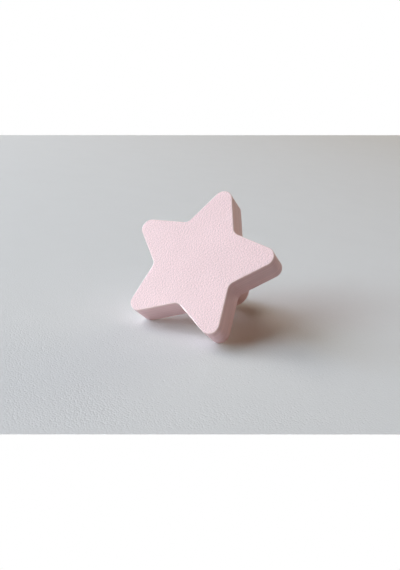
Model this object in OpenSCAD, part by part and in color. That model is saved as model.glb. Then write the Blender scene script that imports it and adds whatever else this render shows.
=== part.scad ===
// Star-shaped drawer handle: a thick star with rounded points on a round stem,
// fixed from inside the drawer by one screw into a brass insert in the stem's end.
// The origin is the middle of the stem's end, where it meets the drawer front.
// The star faces -Y with one point straight up, and the screw comes in from +Y.

/* [Star] */
// Reach of the points from the star's middle, before they are rounded
point_reach = 30; // [24:0.5:42]
// Reach of the inner corners from the star's middle, before they are rounded
corner_reach = 15; // [11:0.5:19]
// Radius that rounds the points
point_round = 3.25; // [1.5:0.25:5]
// Radius that rounds the inner corners
corner_round = 2.6; // [1:0.2:5]
// Thickness of the star from front to back
star_thickness = 10; // [6:0.5:16]
// Radius that rounds the edge of the front face
edge_round = 0.35; // [0.2:0.05:1.2]
// Width of the small bevel that breaks the edge of the back face
back_break = 0.2; // [0.1:0.1:0.6]

/* [Stem] */
// Diameter of the stem behind the star
stem_diameter = 12.2; // [9:0.2:18]
// Length of the stem from the drawer front to the star
stem_length = 25; // [16:1:40]
// Height of the stem above the middle of the star
stem_rise = 3; // [0:0.5:6]
// Chamfer round the stem's end
stem_chamfer = 0.4; // [0.2:0.1:1]

/* [Screw insert] */
// Bore of the insert, at the tapping size of its thread
thread_bore = 3.3; // [2.5:0.1:4.2]
// Diameter of the insert over its two gripping bands
insert_diameter = 5.6; // [5.2:0.1:7]
// Length of the insert
insert_length = 8; // [6:0.5:10]
// Width of the groove between the bands
groove_width = 1.2; // [0.6:0.1:2]
// Depth of the groove between the bands
groove_depth = 0.35; // [0.1:0.05:0.45]
// Length of the plain lead at the insert's inner end
lead_length = 1.4; // [0.8:0.1:2]
// How much wider than the bore the hole for the screw's tip is, beyond the insert
tip_clearance = 1.1; // [0.8:0.1:1.3]
// Length of the hole for the screw's tip, beyond the insert
tip_room = 6; // [2:0.5:8]

/* [Hidden] */
$fn = 96;

points = 5;
half_pitch = 180 / points;
// Half the angle of a point, and half the angle that an inner corner opens by
point_half = atan2(corner_reach * sin(half_pitch), point_reach - corner_reach * cos(half_pitch));
corner_half = point_half + half_pitch;
// Half the angle that each rounding arc turns through
point_turn = 90 - point_half;
corner_turn = 90 - corner_half;
// Distance of the arcs' centres from the star's middle
point_centre = point_reach - point_round / sin(point_half);
corner_centre = corner_reach + corner_round / sin(corner_half);
// Steps of the rounding arcs and of the rounded front edge
point_steps = 14;
corner_steps = 8;
edge_steps = 5;

stem_radius = stem_diameter / 2;
insert_radius = insert_diameter / 2;
// Length of the gripping band on each side of the groove
band_length = (insert_length - lead_length - groove_width) / 2;
// Spare length by which a cutter passes the face that it opens
spare = 1;

function toward(angle, reach) = reach * [cos(angle), sin(angle)];
function point_angle(k) = 90 + 2 * half_pitch * k;
function corner_angle(k) = point_angle(k) + half_pitch;
function arc(centre, radius, from, turn, steps) = [
    for (s = [0:steps]) centre + toward(from + turn * s / steps, radius)
];

// The star's outline, drawn in by an even inset: a point's arc, then an inner corner's, in turn
function outline(inset) = [
    for (k = [0:points - 1]) each concat(
        arc(toward(point_angle(k), point_centre), point_round - inset,
            point_angle(k) - point_turn, 2 * point_turn, point_steps),
        arc(toward(corner_angle(k), corner_centre), corner_round + inset,
            corner_angle(k) + 180 + corner_turn, -2 * corner_turn, corner_steps)
    )
];

// Inset and height of each outline from the back of the star to its front
levels = [
    [back_break, 0],
    [0, back_break],
    for (s = [0:edge_steps])
        let (rise = 90 * s / edge_steps)
        [edge_round * (1 - cos(rise)), star_thickness - edge_round * (1 - sin(rise))]
];

// The star, lying on its back with its middle over the origin
module star_plate() {
    ring = len(outline(0));
    top = (len(levels) - 1) * ring;
    corners = [
        for (level = levels)
            for (p = outline(level[0])) [p[0], p[1], level[1]],
        [0, 0, 0],
        [0, 0, star_thickness]
    ];
    back_middle = top + ring;
    front_middle = back_middle + 1;
    walls = [
        for (start = [0:ring:top - ring])
            for (i = [0:ring - 1])
                let (j = (i + 1) % ring)
                [start + i, start + ring + i, start + ring + j, start + j]
    ];
    // The flat faces are fans of triangles about the star's middle
    back = [for (i = [0:ring - 1]) [back_middle, i, (i + 1) % ring]];
    front = [for (i = [0:ring - 1]) [front_middle, top + (i + 1) % ring, top + i]];
    polyhedron(corners, concat(back, front, walls));
}

// The stem, standing on the drawer front and rooted in the star
module stem() {
    root = stem_length + star_thickness / 2;
    rotate_extrude()
        polygon([
            [0, 0],
            [stem_radius - stem_chamfer, 0],
            [stem_radius, stem_chamfer],
            [stem_radius, root],
            [0, root]
        ]);
}

// Stepped hole in the stem's end: the insert's seat, then room for the screw's tip
module insert_hole() {
    translate([0, 0, -spare])
        cylinder(d = insert_diameter, h = insert_length + spare);
    cylinder(d = thread_bore + tip_clearance, h = insert_length + tip_room);
}

// Turns what stands on the drawer front to face -Y
module facing_out() {
    rotate([90, 0, 0])
        children();
}

module star_handle() {
    color("mistyrose")
        facing_out()
            difference() {
                union() {
                    translate([0, -stem_rise, stem_length])
                        star_plate();
                    stem();
                }
                insert_hole();
            }
}

module threaded_insert() {
    groove_radius = insert_radius - groove_depth;
    color("goldenrod")
        facing_out()
            rotate_extrude()
                polygon([
                    [thread_bore / 2, 0],
                    [insert_radius, 0],
                    [insert_radius, band_length],
                    [groove_radius, band_length],
                    [groove_radius, band_length + groove_width],
                    [insert_radius, band_length + groove_width],
                    [insert_radius, insert_length - lead_length],
                    [groove_radius, insert_length - lead_length],
                    [groove_radius, insert_length],
                    [thread_bore / 2, insert_length]
                ]);
}

star_handle();
threaded_insert();
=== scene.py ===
import math

import bmesh
import bpy
from mathutils import Matrix, Quaternion, Vector


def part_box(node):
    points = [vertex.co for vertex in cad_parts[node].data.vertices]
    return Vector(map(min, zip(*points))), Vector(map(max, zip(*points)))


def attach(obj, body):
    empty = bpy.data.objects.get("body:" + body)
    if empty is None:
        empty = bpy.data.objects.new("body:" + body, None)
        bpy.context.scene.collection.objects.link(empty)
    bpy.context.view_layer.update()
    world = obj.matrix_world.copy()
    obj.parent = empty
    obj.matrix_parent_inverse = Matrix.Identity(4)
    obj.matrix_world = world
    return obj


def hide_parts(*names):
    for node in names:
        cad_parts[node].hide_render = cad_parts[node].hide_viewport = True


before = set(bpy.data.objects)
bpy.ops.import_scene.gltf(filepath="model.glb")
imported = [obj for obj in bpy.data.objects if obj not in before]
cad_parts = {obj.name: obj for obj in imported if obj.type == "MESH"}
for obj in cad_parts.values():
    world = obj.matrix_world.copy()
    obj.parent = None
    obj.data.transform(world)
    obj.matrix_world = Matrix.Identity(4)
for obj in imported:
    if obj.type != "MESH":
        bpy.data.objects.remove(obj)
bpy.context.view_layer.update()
print("frame loaded with", ", ".join(sorted(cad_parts)))

mm = 0.001  # sizes and places below are in millimetres
tiny = 1e-6  # metres


# helpers for places and meshes

def spot(x, y, z):
    return Vector((x, y, z)) * mm


def onStar(angle, reach, depth=0.0, height=0.0):
    # a place in the star's own plane, the angle counted from +X towards +Z
    turn = math.radians(angle)
    return spot(reach * math.cos(turn), depth, reach * math.sin(turn) + height)


def atDepth(edges, depth):
    return [e for e in edges if all(abs(v.co.y - depth * mm) < tiny for v in e.verts)]


def everything(bm):
    return list(bm.verts) + list(bm.edges) + list(bm.faces)


def spinArc(bm, start, centre, angle, steps):
    # an arc of edges about an axis along Y, given back as its two end vertices
    first = bm.verts.new(start)
    made = bmesh.ops.spin(bm, geom=[first], cent=centre, axis=(0, -1, 0), dvec=(0, 0, 0),
                          angle=math.radians(angle), steps=steps, use_merge=False,
                          use_normal_flip=False, use_duplicate=False)
    last = next(g for g in made["geom_last"] if isinstance(g, bmesh.types.BMVert))
    return first, last


def spinProfile(bm, profile, turns, steps, drop=0.0, close=True):
    # turns a line of (radius, depth) points about the Y axis, or winds it down a helix
    verts = [bm.verts.new(spot(radius, depth, 0)) for radius, depth in profile]
    edges = [bm.edges.new(pair) for pair in zip(verts, verts[1:])]
    bmesh.ops.spin(bm, geom=verts + edges, cent=(0, 0, 0), axis=(0, 1, 0),
                   dvec=spot(0, -drop / steps, 0), angle=2 * math.pi * turns, steps=turns * steps,
                   use_merge=close, use_normal_flip=False, use_duplicate=False)
    bmesh.ops.remove_doubles(bm, verts=bm.verts, dist=tiny)


def roundEdges(bm, edges, width, segments):
    bmesh.ops.bevel(bm, geom=edges, offset=width * mm, offset_type="OFFSET", affect="EDGES",
                    segments=segments, profile=0.5, material=-1, clamp_overlap=True)


def cutAcross(bm, depth, side=1, clear=False):
    # a cut square to Y, which can also clear what lies on one side of it
    bmesh.ops.bisect_plane(bm, geom=everything(bm), dist=tiny / 10, plane_co=spot(0, depth, 0),
                           plane_no=(0, side, 0), clear_outer=clear, clear_inner=False)


def fillRing(bm, edges):
    bmesh.ops.triangle_fill(bm, edges=edges, use_beauty=True, use_dissolve=False, normal=(0, 1, 0))


def makeObject(bm, name, material, sharpAngle=30):
    for face in bm.faces:
        face.smooth = True
    for edge in bm.edges:
        if edge.is_manifold and edge.calc_face_angle() > math.radians(sharpAngle):
            edge.smooth = False
    mesh = bpy.data.meshes.new(name)
    bm.to_mesh(mesh)
    bm.free()
    mesh.materials.append(material)
    piece = bpy.data.objects.new(name, mesh)
    bpy.context.scene.collection.objects.link(piece)
    return piece


# helpers for materials

def addNode(tree, kind, inputs=None, **settings):
    node = tree.nodes.new(kind)
    for key, value in settings.items():
        setattr(node, key, value)
    for key, value in (inputs or {}).items():
        if isinstance(value, bpy.types.NodeSocket):
            tree.links.new(value, node.inputs[key])
        else:
            node.inputs[key].default_value = value
    return node


def newMaterial(name):
    material = bpy.data.materials.new(name)
    material.use_nodes = True
    tree = material.node_tree
    tree.nodes.clear()
    output = addNode(tree, "ShaderNodeOutputMaterial")
    coords = addNode(tree, "ShaderNodeTexCoord")
    inMillimetres = addNode(tree, "ShaderNodeMapping",
                            {"Vector": coords.outputs["Object"], "Scale": (1 / mm,) * 3})
    return material, tree, output, coords, inMillimetres.outputs["Vector"]


def combine(tree, operation, first, second=0.0):
    return addNode(tree, "ShaderNodeMath", {0: first, 1: second}, operation=operation).outputs[0]


def remap(tree, value, fromLow, fromHigh, toLow=0.0, toHigh=1.0, style="SMOOTHSTEP"):
    node = addNode(tree, "ShaderNodeMapRange", {
        "Value": value, "From Min": fromLow, "From Max": fromHigh, "To Min": toLow, "To Max": toHigh,
    }, interpolation_type=style)
    return node.outputs["Result"]


def grain(tree, vector, scale, detail=2.0, stretch=(1, 1, 1), shift=(0, 0, 0)):
    # soft noise, scale given as features to the millimetre
    stretched = addNode(tree, "ShaderNodeMapping", {"Vector": vector, "Scale": stretch, "Location": shift})
    noise = addNode(tree, "ShaderNodeTexNoise", {
        "Vector": stretched.outputs["Vector"], "Scale": scale, "Detail": detail, "Roughness": 0.55})
    return noise.outputs["Fac"]


def blendColours(tree, factor, first, second):
    # the Mix node's colour sockets are 6, 7 and 2
    node = addNode(tree, "ShaderNodeMix", {"Factor": factor, 6: first, 7: second}, data_type="RGBA")
    return node.outputs[2]


def blendValues(tree, factor, first, second):
    # and its number sockets are 2, 3 and 0
    node = addNode(tree, "ShaderNodeMix", {"Factor": factor, 2: first, 3: second}, data_type="FLOAT")
    return node.outputs[0]


def fromAxis(tree, axial):
    # how far a place is from the stem's axis
    squares = [combine(tree, "POWER", axial.outputs[side], 2.0) for side in ("X", "Z")]
    return combine(tree, "SQRT", combine(tree, "ADD", *squares))


# the camera

cameraView = {
    "spot": (95.5, -200.27, -53.75),
    "aim": (1.86, -29.324, -8.975),
    "roll": 23.3,  # degrees, as the table leans in the handle's own frame
    "lens": 38.79,
}


def makeCamera(setup):
    camera = bpy.data.objects.new("camera", bpy.data.cameras.new("camera"))
    camera.location = spot(*setup["spot"])
    look = spot(*setup["aim"]) - camera.location
    camera.rotation_mode = "QUATERNION"
    roll = Quaternion((0, 0, 1), math.radians(setup["roll"]))
    camera.rotation_quaternion = look.to_track_quat("-Z", "Y") @ roll
    camera.data.lens = setup["lens"]
    camera.data.sensor_width = 36
    camera.data.clip_start = 0.01
    camera.data.clip_end = 20
    bpy.context.scene.collection.objects.link(camera)
    bpy.context.scene.camera = camera


makeCamera(cameraView)
print("camera placed")


# the pink plastic: pebbled on the front, fine layers round the walls, drawn lines on the back, with painted
# light and shade on the pebbles and a painted highlight along the front edge

plastic = {
    "colour": (0.705, 0.504, 0.513, 1),
    "paleColour": (0.998, 0.714, 0.727, 1),
    "rimHighlightColour": (0.96, 0.71, 0.70, 1),  # a painted highlight on the rounded front edge, which is also smoother
    "rimGlowReach": 1.4,  # how far the painted light on the walls runs back from the front edge
    "rimGlowStart": 0.3,  # where it starts to fade
    "rimGlowShare": 0.8,  # how much of the painted light's colour the walls take
    "edgeRoughness": 0.15,
    "edgeShine": 2.0,
    "shine": 0.5,
    "refraction": 1.46,
    "roughness": (0.46, 0.60),
    "roughScale": 0.8,
    "cloudScale": 0.09,  # slow changes of tone
    "pebbleScale": 1.45,  # pebbles to the millimetre
    "pebbleSpread": 0.9,  # how unevenly they lie
    "pebbleUneven": 0.3,
    "pebbleHeight": 0.08,
    # painted light and shade on the front's pebbles, and a painted shade that makes the whole front a little
    # darker
    "paintedReliefScale": 2.0,
    "paintedReliefStrength": 1.7,
    "paintedReliefStep": 0.35,  # how far apart the painted lit and shaded sides of each pebble lie
    "paintedShadeShift": 0.05,
    "layerStretch": (0.03, 4.0, 0.03),  # long round the walls, thin from front to back
    "layerHeight": 0.055,
    "bandStretch": (0.03, 1.2, 0.03),
    "layerTone": 1.0,
    "linePitch": 0.45,
    "lineWobble": 0.5,
    "lineHeight": 0.045,
}


def makePinkPlastic(look, frontDepth):
    material, tree, output, coords, place = newMaterial("pink_plastic")
    facing = addNode(tree, "ShaderNodeSeparateXYZ", {"Vector": coords.outputs["Normal"]}).outputs["Y"]
    front = remap(tree, facing, -0.99, -0.9999)
    back = remap(tree, facing, 0.7, 0.95)
    edge = combine(tree, "MULTIPLY", remap(tree, facing, -0.995, -0.95), remap(tree, facing, -0.02, -0.2))
    others = combine(tree, "ADD", combine(tree, "ADD", front, back), edge)
    wall = combine(tree, "MAXIMUM", combine(tree, "SUBTRACT", 1.0, others), 0.0)

    # pebbles are rounded cells in the plane of the front, uneven in height
    upright = addNode(tree, "ShaderNodeMapping", {"Vector": place, "Rotation": (math.radians(-90), 0, 0)})
    cells = addNode(tree, "ShaderNodeTexVoronoi", {
        "Vector": upright.outputs["Vector"], "Scale": look["pebbleScale"], "Randomness": look["pebbleSpread"],
    }, voronoi_dimensions="2D")
    falling = combine(tree, "POWER", cells.outputs["Distance"], 2.0)
    uneven = combine(tree, "MULTIPLY", grain(tree, place, look["pebbleScale"], 1.0), look["pebbleUneven"])
    pebbles = combine(tree, "MULTIPLY", combine(tree, "SUBTRACT", uneven, falling), front)
    frontHeight = combine(tree, "MULTIPLY", pebbles, look["pebbleHeight"])

    # layers run round the walls, so the noise is drawn out along them
    layers = grain(tree, place, 1.0, 3.0, look["layerStretch"])
    wallHeight = combine(tree, "MULTIPLY", combine(tree, "MULTIPLY", layers, look["layerHeight"]), wall)

    # drawn lines across the star's back, rings on the stem's end
    across = addNode(tree, "ShaderNodeMapping", {"Vector": place, "Rotation": (0, math.radians(45), 0)})
    sides = addNode(tree, "ShaderNodeSeparateXYZ", {"Vector": across.outputs["Vector"]})
    axial = addNode(tree, "ShaderNodeSeparateXYZ", {"Vector": place})
    radial = fromAxis(tree, axial)
    onEnd = remap(tree, axial.outputs["Y"], -2.0, -1.0, style="LINEAR")
    along = blendValues(tree, onEnd, sides.outputs["X"], radial)
    wobble = combine(tree, "MULTIPLY", grain(tree, place, 0.5, 1.0), look["lineWobble"])
    phase = combine(tree, "MULTIPLY", combine(tree, "ADD", along, wobble), 2 * math.pi / look["linePitch"])
    lines = combine(tree, "MULTIPLY", combine(tree, "SINE", phase), look["lineHeight"] / 2)
    backHeight = combine(tree, "MULTIPLY", lines, back)

    height = combine(tree, "ADD", combine(tree, "ADD", frontHeight, wallHeight), backHeight)
    bump = addNode(tree, "ShaderNodeBump", {"Height": height, "Strength": 1.0, "Distance": mm})

    # the tone changes slowly and in bands along the layers; on the front, painted light and shade stand in
    # for the pebbles' relief
    cloud = grain(tree, place, look["cloudScale"], 3.0)
    bands = grain(tree, place, 1.0, 2.0, look["bandStretch"])
    streak = combine(tree, "MULTIPLY", combine(tree, "SUBTRACT", bands, 0.5), wall)
    tone = remap(tree, cloud, 0.3, 0.7, 0.45, 0.55)
    tone = combine(tree, "ADD", tone, combine(tree, "MULTIPLY", streak, look["layerTone"]))
    # painted light and shade: the same noise at two places side by side, one taken from the other, lights one
    # side of each pebble and shades the other, and the whole front is shaded a little darker
    paintedRelief = grain(tree, place, look["paintedReliefScale"], 1.0)
    beside = grain(tree, place, look["paintedReliefScale"], 1.0, shift=(look["paintedReliefStep"], 0, 0))
    paintedRelief = combine(tree, "SUBTRACT", combine(tree, "SUBTRACT", beside, paintedRelief), look["paintedShadeShift"])
    paintedRelief = combine(tree, "MULTIPLY", paintedRelief, front)
    tone = combine(tree, "ADD", tone, combine(tree, "MULTIPLY", paintedRelief, look["paintedReliefStrength"]))
    colour = blendColours(tree, tone, look["colour"], look["paleColour"])

    # a painted highlight on the front edge, and painted light on the walls just behind it
    rimGlowEnds = (frontDepth + look["rimGlowReach"], frontDepth + look["rimGlowStart"])
    # band: painted light on the walls, fading away from the front edge
    band = remap(tree, axial.outputs["Y"], *rimGlowEnds, 0.0, look["rimGlowShare"])
    paintedRimLight = combine(tree, "MAXIMUM", edge, combine(tree, "MULTIPLY", band, wall))
    colour = blendColours(tree, paintedRimLight, colour, look["rimHighlightColour"])
    roughness = remap(tree, grain(tree, place, look["roughScale"], 3.0), 0.3, 0.7, *look["roughness"])
    roughness = blendValues(tree, edge, roughness, look["edgeRoughness"])
    shine = remap(tree, edge, 0.0, 1.0, look["shine"], look["edgeShine"], "LINEAR")
    shader = addNode(tree, "ShaderNodeBsdfPrincipled", {
        "Base Color": colour, "Roughness": roughness, "Normal": bump.outputs["Normal"],
        "IOR": look["refraction"], "Specular IOR Level": shine})
    tree.links.new(shader.outputs["BSDF"], output.inputs["Surface"])
    return material


# the star with its stem, one printed piece

star = {
    "points": 5,
    "pointReach": 30.0,
    "cornerReach": 15.0,
    "pointRound": 3.25,
    "cornerRound": 2.6,
    "thickness": 10.0,
    "edgeRound": 0.35,
    "backBreak": 0.2,
    "middle": -3.0,  # height of the star's middle below the stem's axis
    "pointSteps": 28,
    "cornerSteps": 14,
    "edgeSegments": 6,
    "backSegments": 3,
    "support": 0.15,  # narrow faces beside the rounds keep the flats flat in the shading
}
stem = {
    "radius": 6.1,
    "chamfer": 0.4,
    "seatRadius": 2.8,
    "seatDepth": 8.0,
    "tipRadius": 2.2,
    "tipDepth": 14.0,
    "steps": 112,
}


def starOutline(bm, size, depth):
    # arcs at the points and inner corners, joined by the straight sides
    pitch = 360 / size["points"]
    half = math.radians(pitch / 2)
    pointHalf = math.atan2(size["cornerReach"] * math.sin(half),
                           size["pointReach"] - size["cornerReach"] * math.cos(half))
    cornerHalf = pointHalf + half
    pointCentre = size["pointReach"] - size["pointRound"] / math.sin(pointHalf)
    cornerCentre = size["cornerReach"] + size["cornerRound"] / math.sin(cornerHalf)
    pointTurn = 90 - math.degrees(pointHalf)
    cornerTurn = 90 - math.degrees(cornerHalf)
    arcs = []
    for k in range(size["points"]):
        angle = 90 + pitch * k
        centre = onStar(angle, pointCentre, depth, size["middle"])
        start = centre + onStar(angle - pointTurn, size["pointRound"])
        arcs.append(spinArc(bm, start, centre, 2 * pointTurn, size["pointSteps"]))
        angle += pitch / 2
        centre = onStar(angle, cornerCentre, depth, size["middle"])
        start = centre - onStar(angle + cornerTurn, size["cornerRound"])
        arcs.append(spinArc(bm, start, centre, -2 * cornerTurn, size["cornerSteps"]))
    for here, following in zip(arcs, arcs[1:] + arcs[:1]):
        bm.edges.new((here[1], following[0]))
    return list(bm.edges)


def makeStar(size, post, frontDepth, material):
    bm = bmesh.new()
    backDepth = frontDepth + size["thickness"]
    outline = starOutline(bm, size, backDepth)
    walls = bmesh.ops.extrude_edge_only(bm, edges=outline)["geom"]
    moved = [g for g in walls if isinstance(g, bmesh.types.BMVert)]
    bmesh.ops.translate(bm, verts=moved, vec=spot(0, -size["thickness"], 0))
    bmesh.ops.contextual_create(bm, geom=outline)
    bmesh.ops.contextual_create(bm, geom=atDepth(bm.edges, frontDepth))
    roundEdges(bm, atDepth(bm.edges, frontDepth), size["edgeRound"], size["edgeSegments"])
    roundEdges(bm, atDepth(bm.edges, backDepth), size["backBreak"], size["backSegments"])
    flats = [f for f in bm.faces if len(f.verts) > 4]
    bmesh.ops.inset_individual(bm, faces=flats, thickness=size["support"] * mm, use_even_offset=True)
    cutAcross(bm, frontDepth + size["edgeRound"] + size["support"])
    cutAcross(bm, backDepth - size["backBreak"] - size["support"])

    # the back face opens for the stem, which has the insert's seat and room for the screw's tip
    back = max((f for f in bm.faces if len(f.verts) > 4), key=lambda f: f.calc_center_median().y)
    rim = list(back.edges)
    bmesh.ops.delete(bm, geom=[back], context="FACES_ONLY")
    plate = set(bm.edges)
    spinProfile(bm, [
        (post["radius"], backDepth),
        (post["radius"], -post["chamfer"] - size["support"]),
        (post["radius"], -post["chamfer"]),
        (post["radius"] - post["chamfer"], 0),
        (post["radius"] - post["chamfer"] - size["support"], 0),
        (post["seatRadius"], 0),
        (post["seatRadius"], -post["seatDepth"]),
        (post["tipRadius"], -post["seatDepth"]),
        (post["tipRadius"], -post["tipDepth"]),
        (0, -post["tipDepth"]),
    ], 1, post["steps"])
    root = [e for e in atDepth(bm.edges, backDepth) if e not in plate]
    fillRing(bm, rim + root)
    bmesh.ops.recalc_face_normals(bm, faces=bm.faces)
    return makeObject(bm, "pink_star", material)


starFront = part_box("star_handle")[0].y / mm
starPiece = makeStar(star, stem, starFront, makePinkPlastic(plastic, starFront))
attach(starPiece, "root")
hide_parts("star_handle")
print("star made with", len(starPiece.data.polygons), "faces")


# the brass insert, knurled outside and threaded inside

brass = {
    "colour": (0.70, 0.47, 0.19, 1),
    "dullColour": (0.52, 0.34, 0.14, 1),
    "roughness": (0.24, 0.42),
    "cloudScale": 1.6,
    "ringPitch": 0.16,  # turning marks
    "ringHeight": 0.003,
}
insert = {
    "radius": 2.8,
    "waist": 2.45,  # radius of the groove and of the lead
    "band": 2.7,  # length of each knurled band
    "groove": 1.2,
    "rimBreak": 0.15,
    "mouthRadius": 2.15,
    "mouthDepth": 0.4,
    "threadRadius": 2.0,
    "boreRadius": 1.65,
    "pitch": 0.7,
    "turnSteps": 40,
    "teeth": 40,
    "toothDepth": 0.22,
    "toothSlant": 7.0,  # degrees along each band
}


def makeBrass(look):
    material, tree, output, coords, place = newMaterial("insert_brass")
    axial = addNode(tree, "ShaderNodeSeparateXYZ", {"Vector": place})
    radial = fromAxis(tree, axial)
    rings = combine(tree, "SINE", combine(tree, "MULTIPLY", radial, 2 * math.pi / look["ringPitch"]))
    height = combine(tree, "MULTIPLY", rings, look["ringHeight"])
    bump = addNode(tree, "ShaderNodeBump", {"Height": height, "Strength": 1.0, "Distance": mm})
    cloud = grain(tree, place, look["cloudScale"], 4.0)
    colour = blendColours(tree, remap(tree, cloud, 0.35, 0.7), look["colour"], look["dullColour"])
    roughness = remap(tree, cloud, 0.35, 0.7, *look["roughness"])
    shader = addNode(tree, "ShaderNodeBsdfPrincipled", {
        "Base Color": colour, "Roughness": roughness, "Normal": bump.outputs["Normal"], "Metallic": 1.0})
    tree.links.new(shader.outputs["BSDF"], output.inputs["Surface"])
    return material


def windThread(bm, size, length):
    # one thread's section, wound past both ends and trimmed there
    crest = size["pitch"] / 4
    root = size["pitch"] / 8
    flank = (size["pitch"] - crest - root) / 2
    start = -size["mouthDepth"] + 2 * size["pitch"]
    spinProfile(bm, [
        (size["boreRadius"], start),
        (size["boreRadius"], start - crest),
        (size["threadRadius"], start - crest - flank),
        (size["threadRadius"], start - crest - flank - root),
        (size["boreRadius"], start - size["pitch"]),
    ], math.ceil(length / size["pitch"]) + 3, size["turnSteps"], size["pitch"], False)
    cutAcross(bm, -size["mouthDepth"], 1, True)
    cutAcross(bm, -length, -1, True)


def makeInsert(size, length, material):
    bm = bmesh.new()
    windThread(bm, size, length)
    threadEnds = [atDepth([e for e in bm.edges if e.is_boundary], depth)
                  for depth in (-size["mouthDepth"], -length)]
    secondBand = -size["band"] - size["groove"]
    shoulder = size["radius"] - size["rimBreak"]
    inside = set(bm.verts)
    spinProfile(bm, [
        (size["mouthRadius"], 0),
        (shoulder, 0),
        (size["radius"], -size["rimBreak"]),
        (size["radius"], -size["band"]),
        (size["waist"], -size["band"]),
        (size["waist"], secondBand),
        (size["radius"], secondBand),
        (size["radius"], secondBand - size["band"]),
        (size["waist"], secondBand - size["band"]),
        (size["waist"], size["rimBreak"] - length),
        (size["waist"] - size["rimBreak"], -length),
    ], 1, 2 * size["teeth"])

    # every other line of the bands is pulled in, then each band is slanted
    knurled = [v for v in bm.verts if v not in inside
               and abs(math.hypot(v.co.x, v.co.z) - size["radius"] * mm) < tiny]
    valleys = [v for v in knurled if round(math.atan2(v.co.z, v.co.x) * size["teeth"] / math.pi) % 2]
    shrink = 1 - size["toothDepth"] / size["radius"]
    bmesh.ops.scale(bm, verts=valleys, vec=(shrink, 1, shrink))
    for depth, slant in ((-size["band"], size["toothSlant"]), (secondBand, -size["toothSlant"])):
        level = [v for v in knurled if abs(v.co.y - depth * mm) < tiny]
        bmesh.ops.rotate(bm, verts=level, cent=(0, 0, 0),
                         matrix=Matrix.Rotation(math.radians(slant), 3, "Y"))
    rims = [e for e in bm.edges if e.is_boundary and e not in threadEnds[0] + threadEnds[1]]
    fillRing(bm, threadEnds[0] + atDepth(rims, 0))
    fillRing(bm, threadEnds[1] + atDepth(rims, -length))
    bmesh.ops.recalc_face_normals(bm, faces=bm.faces)
    return makeObject(bm, "brass_insert", material)


insertLow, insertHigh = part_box("threaded_insert")
insertPiece = makeInsert(insert, (insertHigh.y - insertLow.y) / mm, makeBrass(brass))
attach(insertPiece, "root")
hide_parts("threaded_insert")
print("insert made with", len(insertPiece.data.polygons), "faces")


# the table that the handle lies on, which leans in the handle's own frame

table = {
    "lean": 36.6,  # degrees
    "turn": 31.6,  # degrees from the handle's right to the room's right
    "touch": (0, -0.4, -6.1),  # where the stem's rim rests on it
    "corners": [(-600, -169.6), (600, 0.7), (600, 1184), (-600, 59.2)],  # right and away
    "colour": (0.738, 0.748, 0.754, 1),
    "paleColour": (0.753, 0.763, 0.769, 1),
    "shine": 0.0,  # quite matt, so that the white background leaves the shadow dark
    "cloudScale": 0.05,
    "grainScale": 2.0,  # grains to the millimetre
    "grainHeight": 0.046,
    # the grain's tone is partly the table's own and partly painted light and shade on the grains
    "grainToneAndShading": 1.1,
}


def makeTableTop(look):
    material, tree, output, coords, place = newMaterial("table_top")
    cells = addNode(tree, "ShaderNodeTexVoronoi", {"Vector": place, "Scale": look["grainScale"]})
    uneven = grain(tree, place, look["grainScale"], 2.0)
    fine = combine(tree, "SUBTRACT", uneven, combine(tree, "POWER", cells.outputs["Distance"], 2.0))
    bump = addNode(tree, "ShaderNodeBump", {
        "Height": combine(tree, "MULTIPLY", fine, look["grainHeight"]), "Strength": 1.0, "Distance": mm})
    tone = remap(tree, grain(tree, place, look["cloudScale"], 4.0), 0.3, 0.7, 0.2, 0.8)
    # the grain tone follows the bumps, tops paler and hollows darker: partly the table's own tone, partly
    # painted light and shade standing in for the grains' glints and shading
    tone = combine(tree, "ADD", tone, combine(tree, "MULTIPLY", fine, look["grainToneAndShading"]))
    colour = blendColours(tree, tone, look["colour"], look["paleColour"])
    shader = addNode(tree, "ShaderNodeBsdfPrincipled", {
        "Base Color": colour, "Normal": bump.outputs["Normal"], "Specular IOR Level": look["shine"]})

    # clear from below, so that the handle's back can be seen
    behind = addNode(tree, "ShaderNodeNewGeometry").outputs["Backfacing"]
    nothing = addNode(tree, "ShaderNodeBsdfTransparent")
    mixed = addNode(tree, "ShaderNodeMixShader", {
        0: behind, 1: shader.outputs["BSDF"], 2: nothing.outputs["BSDF"]})
    tree.links.new(mixed.outputs["Shader"], output.inputs["Surface"])
    return material


def makeTable(setup):
    onTable = Matrix.Rotation(math.radians(setup["lean"]), 3, "X")
    onTable = onTable @ Matrix.Rotation(math.radians(setup["turn"]), 3, "Z")
    bm = bmesh.new()
    corners = [bm.verts.new(onTable @ spot(right, away, 0)) for right, away in setup["corners"]]
    bm.faces.new(corners)
    bmesh.ops.translate(bm, verts=bm.verts, vec=spot(*setup["touch"]))
    board = makeObject(bm, "table", makeTableTop(setup))
    board.visible_shadow = False  # so the rear lamp reaches the handle's back
    return onTable


onTable = makeTable(table)
print("table placed")


# the room's light: windows at the left, a dim warm room on the near side

room = {
    "background": (1.0, 1.0, 1.0, 1),  # what shows past the table, and in anything glossy
    "nearGlow": (0.29, 0.11, 0.04),
}
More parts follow.
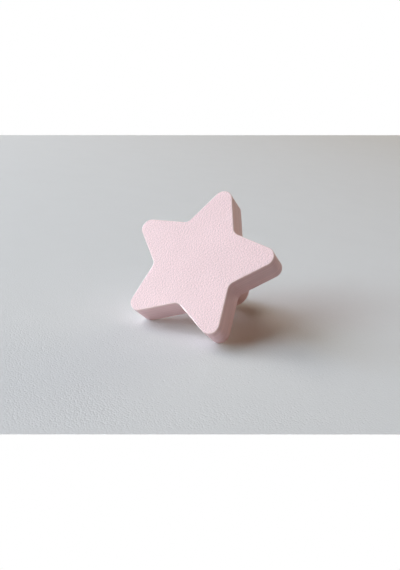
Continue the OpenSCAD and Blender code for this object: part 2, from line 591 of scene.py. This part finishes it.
# a lamp that isn't mirrored stays out of reflections, and one that doesn't light shows only in them
lamps = [
    {"name": "window", "bearing": 180, "height": 40, "size": 1870,
     "watts": 39.2, "colour": (0.77, 0.865, 0.985), "mirrored": True},
    {"name": "near_window", "bearing": 210, "height": 25, "size": 1070,
     "watts": 28.6, "colour": (0.70, 0.905, 0.965), "mirrored": True},
    {"name": "far_window", "bearing": 140, "height": 50, "size": 1330,
     "watts": 14.9, "colour": (0.96, 0.90, 0.83), "mirrored": True},
    {"name": "doorway", "bearing": 60, "height": 14, "size": 1330,
     "watts": 4.5, "colour": (0.88, 1.0, 0.75), "mirrored": False},
    {"name": "right_wall", "bearing": 45, "height": 12, "size": 1330,
     "watts": 10.5, "colour": (1.0, 0.87, 0.64), "mirrored": False},
    {"name": "glint", "bearing": 186, "height": 8, "size": 1070,
     "watts": 88.0, "colour": (0.9, 0.95, 1.0), "mirrored": True, "lights": False},
    {"name": "far_glint", "bearing": 144, "height": 17, "size": 1070,
     "watts": 20.0, "colour": (0.9, 0.95, 1.0), "mirrored": True, "lights": False},
]
rearLamp = {"from": (-0.45, 0.85, 0.3), "watts": 3.6, "size": 1330, "colour": (1.0, 0.97, 0.95)}
lampDistance = 2400
lampAspect = 0.7  # height of a lamp as a share of its width


def addLamp(name, direction, watts, size, colour, mirrored=True, lights=True):
    lamp = bpy.data.lights.new(name, "AREA")
    lamp.shape = "RECTANGLE"
    lamp.size = size * mm
    lamp.size_y = size * lampAspect * mm
    lamp.energy = watts
    lamp.color = colour
    holder = bpy.data.objects.new(name, lamp)
    holder.location = direction.normalized() * lampDistance * mm
    holder.rotation_mode = "QUATERNION"
    holder.rotation_quaternion = (-direction).to_track_quat("-Z", "Y")
    holder.visible_glossy = mirrored
    holder.visible_diffuse = lights
    bpy.context.scene.collection.objects.link(holder)


def makeRoom(setup):
    world = bpy.data.worlds.new("room")
    bpy.context.scene.world = world
    world.use_nodes = True
    tree = world.node_tree
    tree.nodes.clear()
    coords = addNode(tree, "ShaderNodeTexCoord")
    toNear = addNode(tree, "ShaderNodeVectorMath", {
        0: coords.outputs["Generated"], 1: onTable @ Vector((0, -1, 0))}, operation="DOT_PRODUCT")
    toTop = addNode(tree, "ShaderNodeVectorMath", {
        0: coords.outputs["Generated"], 1: onTable @ Vector((0, 0, 1))}, operation="DOT_PRODUCT")
    share = combine(tree, "POWER", remap(tree, toNear.outputs["Value"], -1.0, 1.0, style="LINEAR"), 2.0)
    strength = combine(tree, "MULTIPLY", share, remap(tree, toTop.outputs["Value"], -0.05, 0.1))
    lit = addNode(tree, "ShaderNodeBackground", {"Color": (*setup["nearGlow"], 1), "Strength": strength})
    seen = addNode(tree, "ShaderNodeBackground", {"Color": setup["background"], "Strength": 1.0})
    path = addNode(tree, "ShaderNodeLightPath")
    shown = path.outputs["Is Camera Ray"]
    for ray in ("Is Glossy Ray", "Is Transmission Ray"):
        shown = combine(tree, "MAXIMUM", shown, path.outputs[ray])
    mixed = addNode(tree, "ShaderNodeMixShader", {
        0: shown, 1: lit.outputs["Background"], 2: seen.outputs["Background"]})
    output = addNode(tree, "ShaderNodeOutputWorld")
    tree.links.new(mixed.outputs["Shader"], output.inputs["Surface"])


makeRoom(room)
for lamp in lamps:
    bearing = math.radians(lamp["bearing"])
    height = math.radians(lamp["height"])
    direction = Vector((math.cos(bearing), math.sin(bearing), math.tan(height)))
    addLamp(lamp["name"], onTable @ direction, lamp["watts"], lamp["size"], lamp["colour"],
            lamp["mirrored"], lamp.get("lights", True))
addLamp("rear_fill", Vector(rearLamp["from"]), rearLamp["watts"], rearLamp["size"], rearLamp["colour"])
bpy.context.scene.view_settings.view_transform = "Standard"
print("room lit")
